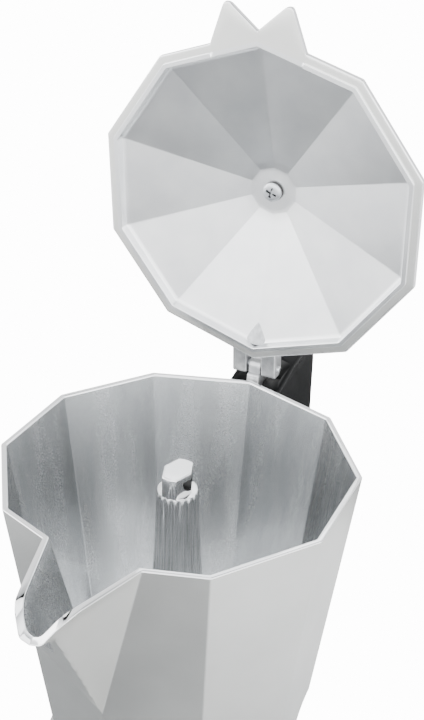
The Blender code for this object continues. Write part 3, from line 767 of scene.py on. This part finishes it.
def make_valve():
    """Washer, hexagon body, guide barrel, cap, spring and plunger, along -Y.

    The hexagon is r = soft_min(flats, chamfer), and the spring is a circle carried along a helix.
    """
    base = VALVE_FACE
    washer = soften([(5.3, base), (7.5, base), (7.5, base + 1.0), (5.3, base + 1.0)], 0.25, 3, True)
    washer = turned("washer", washer, FIBRE, 64, VALVE_PLACE, True)
    finished(washer, "boiler", "fibre_washer", "valve_washer")

    hexagon = base + 1.3
    end = hexagon + 8.4
    sixth = np.pi / 3
    phi = ((np.arange(6)[:, None] + np.linspace(-0.5, 0.5, 14)) * sixth).ravel() % (2 * np.pi)
    phi = np.unique(np.round(phi, 9))[None, :]
    flats = 8.0 * np.cos(sixth / 2) / np.cos((phi + sixth / 2) % sixth - sixth / 2)
    chamfer = np.array([(5.0, 0.0), (7.1, 0.0), (7.5, 0.25), (8.0, 0.6), (9.0, 1.2), (9.0, 3.4), (8.0, 4.0),
                        (7.5, 4.35), (7.1, 4.6), (5.6, 4.6)])
    barrel = soften([(5.4, hexagon + 4.6), (5.4, end), (4.2, end), (3.1, end - 0.2), (3.0, end - 6.0),
                     (0.0, end - 6.0)], [0, 0.5, 0.3, 0.3, 0, 0], 3)
    skin = Rows(phi)
    skin.add(soft_min(flats, chamfer[:, :1], 0.15), chamfer[:, 1:] + hexagon)
    skin.line(barrel)
    body = wrap_surface("valve_hexagon", carried(skin.grid(), VALVE_PLACE), [BRASS])
    finished(body, "boiler", "brass", "valve_body")

    cap = soften([(1.35, end + 0.3), (5.3, end + 0.3), (5.3, end + 1.1), (4.4, end + 1.3),
                  (1.35, end + 1.0)], 0.3, 3, True)
    cap = turned("valve_cover", cap, ZINC, 64, VALVE_PLACE, True)
    finished(cap, "boiler", "plated_steel", "valve_cap")

    tip = end + 3.6
    collar = 55.2
    stem = soften([(0.0, tip), (0.75, tip), (0.95, tip - 0.5), (0.95, collar + 0.4), (2.5, collar),
                   (2.5, collar - 1.1), (1.1, 53.0), (0.0, 53.0)], [0, 0.3, 0.2, 0.2, 0.2, 0.2, 0.2, 0], 3)
    stem = turned("plunger_stem", stem, ZINC, 32, VALVE_PLACE)
    finished(stem, "valve_plunger", "plated_steel", "valve_plunger")

    coils = 5.0
    coil = 2.1
    wire = 0.3
    low, high = collar + 0.4, end - 0.5
    t = shares(220)
    spin = 2 * np.pi * coils * t
    around = full_turn(10)
    reach = coil + wire * np.cos(around)
    grid = np.stack([reach * np.cos(spin), reach * np.sin(spin),
                     low + (high - low) * t + wire * np.sin(around)], axis=-1)
    spring = wrap_surface("coil_spring", carried(grid, VALVE_PLACE), [ZINC])
    finished(spring, "boiler", "plated_steel", "valve_spring")
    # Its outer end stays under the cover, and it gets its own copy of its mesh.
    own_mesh(spring)


# ---- funnel, gasket and filter
def perforated(radius, low, high, hole, spacing):
    """A disc with a triangular lattice of round holes: both faces are one constrained triangulation."""
    count = int(radius / spacing) + 1
    i, j = np.meshgrid(np.arange(-count, count + 1), np.arange(-count, count + 1))
    centres = np.stack([(i + 0.5 * j).ravel() * spacing, (j * np.sqrt(0.75)).ravel() * spacing], axis=1)
    centres = centres[np.linalg.norm(centres, axis=1) < radius - 2.2 * hole - 0.6]
    ring = full_turn(12)[0]
    holes = centres[:, None] + hole * np.stack([np.cos(ring), np.sin(ring)], axis=-1)[None]
    border = full_turn(96)[0]
    loops = [radius * np.stack([np.cos(border), np.sin(border)], axis=-1)] + list(holes)
    points = np.concatenate(loops)
    starts = np.cumsum([0] + [len(loop) for loop in loops[:-1]])
    edges = [(start + k, start + (k + 1) % len(loop)) for start, loop in zip(starts, loops)
             for k in range(len(loop))]
    flat, _, triangles, *_ = delaunay_2d_cdt([Vector(p) for p in points], edges, [], 1, 1e-6)
    flat = np.array([tuple(p) for p in flat])
    triangles = np.array(triangles)
    middle = flat[triangles].mean(axis=1)
    apart = np.linalg.norm(middle[:, None] - centres[None], axis=2).min(axis=1)
    triangles = triangles[apart > hole * 0.98]
    total = len(flat)
    verts = np.concatenate([np.c_[flat, np.full(total, high)], np.c_[flat, np.full(total, low)]])
    faces = triangles.tolist() + (triangles[:, ::-1] + total).tolist()
    directed = {(a, b) for t in triangles.tolist() for a, b in zip(t, t[1:] + t[:1])}
    walls = [(b, a, a + total, b + total) for a, b in directed if (b, a) not in directed]
    return verts, faces + walls


def make_funnel():
    """Basket with a rolled rim and a cone, a plain dip tube, and a perforated screen."""
    low, high = heights_of("funnel_basket")
    floor, screen_top = heights_of("funnel_screen")
    profile = soften([(41.0, high), (41.0, high - 0.9), (37.7, high - 0.9), (37.7, floor - 1.1),
                      (6.0, low + 2.0), (6.0, low), (5.1, low), (5.1, low + 2.7), (36.8, floor - 0.4),
                      (36.8, high)], [0.4, 0.4, 0.6, 1.5, 1.5, 0.3, 0.3, 1.2, 1.2, 0.8], 4, True)
    basket = turned("coffee_basket", profile, SPUN, 96, closed=True)
    finished(basket, "funnel", "pressed_aluminium", "funnel_basket")
    foot, head = heights_of("funnel_tube")
    tube = soften([(4.0, head), (4.8, head), (4.8, foot + 3.0), (4.8, foot), (4.0, foot), (4.0, foot + 3.0)],
                  [0.3, 0.3, 0.5, 0.3, 0.3, 0.5], 4, True)
    tube = turned("dip_tube", tube, SPUN, 48, closed=True)
    finished(tube, "funnel", "pressed_aluminium", "funnel_tube")
    screen = build_mesh("basket_screen", *perforated(36.4, floor, screen_top, 0.8, 3.6), [SPUN])
    finished(screen, "funnel", "pressed_aluminium", "funnel_screen")


def make_seals():
    """Silicone gasket and the dished filter plate above it."""
    low, high = heights_of("gasket")
    ring = soften([(35.0, low), (42.1, low), (42.1, high), (35.0, high)], 0.9, 5, True)
    finished(turned("sealing_ring", ring, RUBBER, 96, closed=True), "gasket", "white_rubber", "gasket")

    low, high = heights_of("filter_plate")
    sheet = 0.8
    dish = soften([(31.4, low + sheet), (31.4, low), (33.5, low), (34.4, high - sheet), (39.0, high - sheet),
                   (39.0, high), (33.8, high), (32.8, low + sheet)],
                  [0, 0, 0.8, 0.8, 0.35, 0.35, 0.8, 0.8], 4, True)
    skirt = turned("filter_rim", dish, SPUN, 96, closed=True)
    finished(skirt, "filter_plate", "pressed_aluminium")
    sieve = build_mesh("filter_sieve", *perforated(31.4, low, low + sheet, 0.7, 3.0), [SPUN])
    finished(sieve, "filter_plate", "pressed_aluminium", "filter_plate")


# ---- lid
TAB = np.array([(54.0, 18.4), (58.9, 17.7), (72.2, 13.0), (73.4, 12.3), (73.4, 10.3), (64.6, 0.0)])
# Carries points drawn on the closed lid, with heights from the rim, to the open lid
TO_OPEN = matrix_array(Matrix.Translation(HINGE) @ Matrix.Rotation(LID_OPEN, 4, "Y")
                       @ Matrix.Translation(-HINGE) @ Matrix.Translation((0.0, 0.0, RIM_Z)))


def lid_columns():
    """Decagon columns, with closer ones across the tab."""
    span = np.radians(18.6)
    regular = decagon_columns(6)
    regular = regular[np.abs(regular - np.pi) > span]
    horn = np.radians(np.array([17.6, 17.2, 16.8, 16.4, 15.5, 14.0, 12.5, 11.0, 10.2, 9.7, 9.4, 9.0, 8.5, 8.1,
                                7.6, 6.8, 5.6, 4.2, 2.8, 1.4]))
    return np.sort(np.concatenate([regular, np.pi + horn, [np.pi], np.pi - horn,
                                   [np.pi - span * 0.98, np.pi + span * 0.98]]))


def make_lid():
    """Dome, flange, seating lip and pouring tab in one skin, closed round the screw's hole.

    The flange's edge is r = max(decagon, tab outline), and the seating lip stops beside the tab.
    """
    phi = lid_columns()[None, :]
    facets = decagon(phi)
    away = np.abs(phi - np.pi)
    side = refined(soften(TAB, [0, 0.8, 0.8, 0.8, 1.0, 0.0], 5), 0.4)
    tab = reach_at(away, side)
    flange = 64.24 * facets
    rim = np.where(away < np.radians(16.9), np.maximum(tab, flange), flange)
    lip_drop = 0.8 * np.clip((away - np.radians(17.1)) / np.radians(0.35), 0.0, 1.0)
    seat = 0.3                # underside of the closed lid's flange, from the rim
    skin = Rows(phi)
    # boss round the screw's hole, inside slopes, and the flange's seating lip
    skin.line([(2.4, 17.9), (4.0, 17.9), (7.5, 17.9)], 1)
    skin.line([(9.2, 17.9), (9.8, 17.82)], 1, facets)
    under = soften([(9.5, 17.9), (57.9, 3.2), (58.9, 2.5), (59.3, -0.5)], [0, 0.8, 0.5, 0], 4)
    slope = (9.8, 17.82) + (under[1] - (9.8, 17.82)) * shares(12)[1:]
    skin.line(np.concatenate([slope, under[2:-1]]), 1, facets)
    for reach, rise in ((59.25, 0.15), (59.45, 0.0), (60.9, 0.0), (61.1, 0.15 * (lip_drop > 0.1))):
        skin.add(reach * facets, seat - lip_drop + rise, 1)
    skin.line([(61.1, seat), (61.4, seat)], 0, facets)
    skin.add(0.5 * (rim + 61.4 * facets), seat)
    # edge of the flange and the tab, rounded below and above
    skin.add(rim - 0.5, seat, 2)
    quarter = np.pi / 2 * shares(4)
    skin.add(rim - 0.5 * (1 - np.sin(quarter[1:])), seat + 0.5 * (1 - np.cos(quarter[1:])), 2)
    top = seat + np.where(rim > flange + 0.2, 2.2, 2.4)
    skin.add(rim - 0.5 * (1 - np.cos(quarter)), top - 0.5 * (1 - np.sin(quarter)))
    # step and outside slopes up to the knob
    skin.add(0.5 * (rim + 61.2 * facets), top)
    skin.line([(60.6, seat + 2.4), (60.2, seat + 2.6)], 0, facets)
    skin.line((58.8, 4.9) + shares(12) * (9.6 - 58.8, 15.2), 0, facets)
    skin.add(9.0 * facets, 20.2)
    skin.add(2.4, 20.2)
    grid = carried(skin.grid(), TO_OPEN)
    lid = wrap_surface("lid_casting", grid, [SATIN, LID_INSIDE, BUFFED], skin.finish, closed=True)
    finished(lid, "lid", "cast_aluminium", "lid")


def make_hinge():
    """Two ears on the lid, the small cone cast in front of them, and the pin through all.

    The cone's half width is 5.2 (1 - t)^0.9 and it stands 1.6 (1 - t)^0.6 proud, t along its length.
    """
    x, z = HINGE[0], HINGE[2] - RIM_Z
    outline = np.concatenate([soften([(60.0, 0.6), (57.0, 3.4), (64.6, z + 3.2)], 0.8),
                              arc(x, z, 3.2, 92.0, -2.0, 10),
                              soften([(72.3, 1.6), (71.4, 0.6), (60.0, 0.6)], 0.4)[:-1]])
    for name, centre in (("left", 6.1), ("right", -6.1)):
        place = TO_OPEN @ matrix_array(Matrix.Translation((0.0, centre, 0.0)))
        ear = plate(f"lid_ear_{name}", outline, 2.9, 0.5, TUMBLED, place)
        finished(ear, "lid", "cast_aluminium")

    across = full_turn(48)
    along = shares(12)
    forward = 58.4 - 7.8 * along
    half = 5.2 * (1 - along) ** 0.9 + 0.1
    surface = 3.2 + (57.9 - forward) * 0.3037
    proud = 0.15 + 1.6 * (1 - along) ** 0.6 * (1 - np.abs(np.cos(across))) ** 0.7
    depth = np.where(np.sin(across) < 0, -proud, 0.4 * np.sin(across))
    cone = np.stack([forward + 0.0 * across, half * np.cos(across), surface + depth], axis=-1)
    finished(wrap_surface("casting_boss", carried(cone, TO_OPEN), [AS_CAST]), "lid", "cast_aluminium")

    make_pin("hinge_rivet", 1.3, 9.7, x, HINGE[2], "hinge_pin")


def make_knob():
    """Ten-sided waisted knob, dished on top, and the pan-head screw that holds it.

    The knob is r = profile x decagon.  The screw's head rises outwards as 0.5 t^5, and its cross is the
    union of two bars, cut with a slope 0.14 wide.
    """
    base = 20.5
    phi = decagon_columns(3)[None, :]
    facets = decagon(phi)
    profile = soften([(2.3, base), (8.8, base), (9.2, base + 0.8), (8.6, base + 2.6), (10.0, base + 7.0),
                      (13.8, base + 16.4), (13.6, base + 19.0), (11.4, base + 21.6), (8.0, base + 22.3),
                      (2.3, base + 21.8)], [0, 0.5, 0.5, 2.0, 4.0, 1.2, 1.6, 1.6, 2.0, 0], 6)
    skin = Rows(phi)
    skin.line(profile, 0, facets)
    # It is solid, and the screw's shank ends inside it.
    knob = wrap_surface("lid_knob", carried(skin.grid(), TO_OPEN), [PHENOLIC])
    finished(knob, "lid", "black_plastic", "knob")

    head = 17.6
    twist = np.radians(20.0)
    half_arm = 0.45
    arm_length = 2.1
    around = full_turn(144)
    dome = shares(44)
    radius = 0.05 + 3.5 * dome

    def outside_cross(x, y):
        """Distance of a point of the head outside its cross-shaped recess."""
        along = np.abs(x * np.cos(twist) + y * np.sin(twist))
        across = np.abs(y * np.cos(twist) - x * np.sin(twist))
        return np.maximum(np.minimum(along, across) - half_arm, np.maximum(along, across) - arm_length)

    def in_recess(*middle):
        """Whether a face's middle lies in the recess."""
        x, y, z = carried(np.stack(middle, axis=-1), np.linalg.inv(TO_OPEN)).T
        return (z < head - 1.2) & (outside_cross(x, y) < 0.05)

    wall = np.clip(0.5 - outside_cross(radius * np.cos(around), radius * np.sin(around)) / 0.14, 0.0, 1.0)
    skin = Rows(around)
    skin.add(radius, head - 2.3 + 0.5 * dome ** 5 + 1.15 * wall)
    # the head's side gets the painted shade, as the dark ring of the shaded gap round the head
    skin.line([(3.74, head - 1.1), (3.78, head - 0.8), (3.78, head)], 1)
    skin.line([(2.05, head), (2.0, head + 0.2), (2.0, base + 12.6), (1.6, base + 12.8)])
    screw = wrap_surface("pan_head_screw", carried(skin.grid(), TO_OPEN), [ZINC, RECESS_SHADE], skin.finish)
    # the faces in the cross recess get the painted shade
    paint_shade(screw, in_recess)
    finished(screw, "lid", "plated_steel", "knob_screw")


# ---- handle
def make_handle():
    """Moulded handle: its side view carried across and rounded, with the well and slot of its head."""
    head = [(67.0, -27.0), (65.8, -9.0), (65.8, -4.2), (82.6, 0.6)]
    shoulder = arc(96.2, -8.0, 10.2, 92.0, 4.0, 14)
    grip = [(106.2, -34.0), (108.4, -64.0), (112.2, -90.0)]
    tip = arc(106.4, -93.0, 6.6, 4.0, -166.0, 12)
    palm = [(93.2, -62.0), (88.6, -46.0)]
    crook = arc(78.0, -41.0, 10.0, -4.0, 80.0, 12)
    outline = np.concatenate([soften(head, 0.8), shoulder, soften(grip, 6.0), tip, soften(palm, 4.0), crook])
    outline[:, 1] += RIM_Z
    handle = plate("moulded_handle", outline, 10.9, 1.2, PHENOLIC, steps=6)

    well = [(60.0, 12.0), (60.0, -2.4), (74.2, -2.4), (80.5, 12.0)]
    slot = [(60.0, 10.0), (60.0, -24.6), (84.6, -24.6), (84.6, 10.0)]
    cutters = [plate(name, np.array(shape) + (0.0, RIM_Z), half, 0.3, PHENOLIC)
               for name, shape, half in (("well_cutter", well, 8.6), ("slot_cutter", slot, 3.0))]
    for cutter in cutters:
        cut = handle.modifiers.new(cutter.name, "BOOLEAN")
        cut.operation = "DIFFERENCE"
        cut.object = cutter
    graph = bpy.context.evaluated_depsgraph_get()
    mesh = bpy.data.meshes.new_from_object(handle.evaluated_get(graph))
    handle.modifiers.clear()
    handle.data = mesh
    for cutter in cutters:
        bpy.data.objects.remove(cutter, do_unlink=True)
    finished(handle, "collector", "black_plastic", "handle")

    make_pin("handle_rivet", 1.6, 10.7, 77.0, RIM_Z - 13.5, "handle_pin")



# ---- studio
def distance(tree, place, point):
    """Distance from a point on the floor, in metres."""
    return add(tree, "ShaderNodeVectorMath", {0: place, 1: point}, operation="DISTANCE").outputs["Value"]


def white_to_camera(tree, shader, kind, output):
    """Show the camera plain white, and give the shader to every other ray."""
    seen = add(tree, "ShaderNodeLightPath").outputs["Is Camera Ray"]
    white = add(tree, kind, {"Color": (1.0, 1.0, 1.0, 1.0), "Strength": 14.0})
    both = add(tree, "ShaderNodeMixShader", {"Fac": seen, 1: shader.outputs[0], 2: white.outputs[0]})
    tree.links.new(both.outputs["Shader"], tree.nodes[output].inputs["Surface"])


def make_floor():
    """A broad pale floor, with the cards that the metal mirrors."""
    half = 6.0
    corners = [(-half, -half, 0.0), (half, -half, 0.0), (half, half, 0.0), (-half, half, 0.0)]
    mesh = bpy.data.meshes.new("studio_floor")
    mesh.from_pydata(corners, [], [(0, 1, 2, 3)])
    floor = linked("studio_floor", mesh)
    paper, tree, shader, place = new_finish("white_paper", 0.0, 0.9)
    # the floor is grey near the pot, paling to white paper further out
    ramp = add(tree, "ShaderNodeValToRGB", {"Fac": distance(tree, place, (-0.12, 0.10, 0.0))})
    floor_tone = ramp.color_ramp
    for reach, code in ((0.12, "#707274"), (0.23, "#a6a7a8"), (0.31, "#c8c9ca"),
                        (0.45, "#dcdddd"), (0.65, "#f0f0f0")):
        floor_tone.elements.new(reach).color = tint(code)
    floor_tone.elements.remove(floor_tone.elements[0])
    floor_tone.elements[-1].color = tint("#f5f5f5")
    # a black card on the handle's right, for the plastic's side
    black = between(tree, distance(tree, place, (0.42, -0.14, 0.0)), 0.04, 1.0, 0.13, 0.19)
    # a grey card behind the spout, for the upper half of the open lid
    grey = between(tree, distance(tree, place, (-0.40, 0.06, 0.0)), 0.50, 1.0, 0.17, 0.36)
    shade = product(tree, black, grey)
    colour = add(tree, "ShaderNodeVectorMath", {0: ramp.outputs["Color"], "Scale": shade}, operation="SCALE")
    tree.links.new(colour.outputs["Vector"], shader.inputs["Base Color"])
    white_to_camera(tree, shader, "ShaderNodeEmission", "Material Output")
    mesh.materials.append(paper)


def make_sky():
    """An even sky that darkens overhead and is brighter on the spout's side."""
    world = bpy.data.worlds.new("studio")
    bpy.context.scene.world = world
    world.use_nodes = True
    tree = world.node_tree
    sky = tree.nodes["Background"]
    direction = add(tree, "ShaderNodeTexCoord").outputs["Generated"]
    parts = add(tree, "ShaderNodeSeparateXYZ", {0: direction}).outputs
    tree.links.new(two_tone(tree, parts["Z"], "#f4f5f6", "#7c7f82", 0.62, 0.88), sky.inputs["Color"])
    # a dark gap overhead, where the lens looks through the light tent
    gap = add(tree, "ShaderNodeVectorMath", {0: direction, 1: (0.15, 0.45, 0.88)}, operation="DOT_PRODUCT")
    shade = between(tree, gap.outputs["Value"], 1.0, 0.02, 0.965, 0.975)
    level = between(tree, parts["X"], 4.9, 2.1, -0.8, 0.6)
    tree.links.new(product(tree, shade, level), sky.inputs["Strength"])
    white_to_camera(tree, sky, "ShaderNodeBackground", "World Output")


def make_panel(name, place, width, height, power):
    """A soft rectangular lamp aimed at the pot's waist."""
    lamp = bpy.data.lights.new(name, "AREA")
    lamp.shape = "RECTANGLE"
    lamp.size = width
    lamp.size_y = height
    lamp.energy = power
    panel = linked(name, lamp)
    panel.location = place
    towards = Vector((0.0, 0.0, 0.2)) - Vector(place)
    panel.rotation_euler = towards.to_track_quat("-Z", "Y").to_euler()


make_collector()
make_hinge_post()
make_column()
make_boiler()
make_valve()
make_funnel()
make_seals()
make_lid()
make_hinge()
make_knob()
make_handle()
make_floor()
make_sky()
make_panel("overhead", (-0.1, 0.1, 1.3), 0.9, 0.9, 9.0)
make_panel("left_panel", (-0.5, 1.1, 0.7), 0.7, 0.9, 6.0)
make_panel("right_panel", (-0.3, -1.2, 0.6), 0.8, 0.8, 5.0)
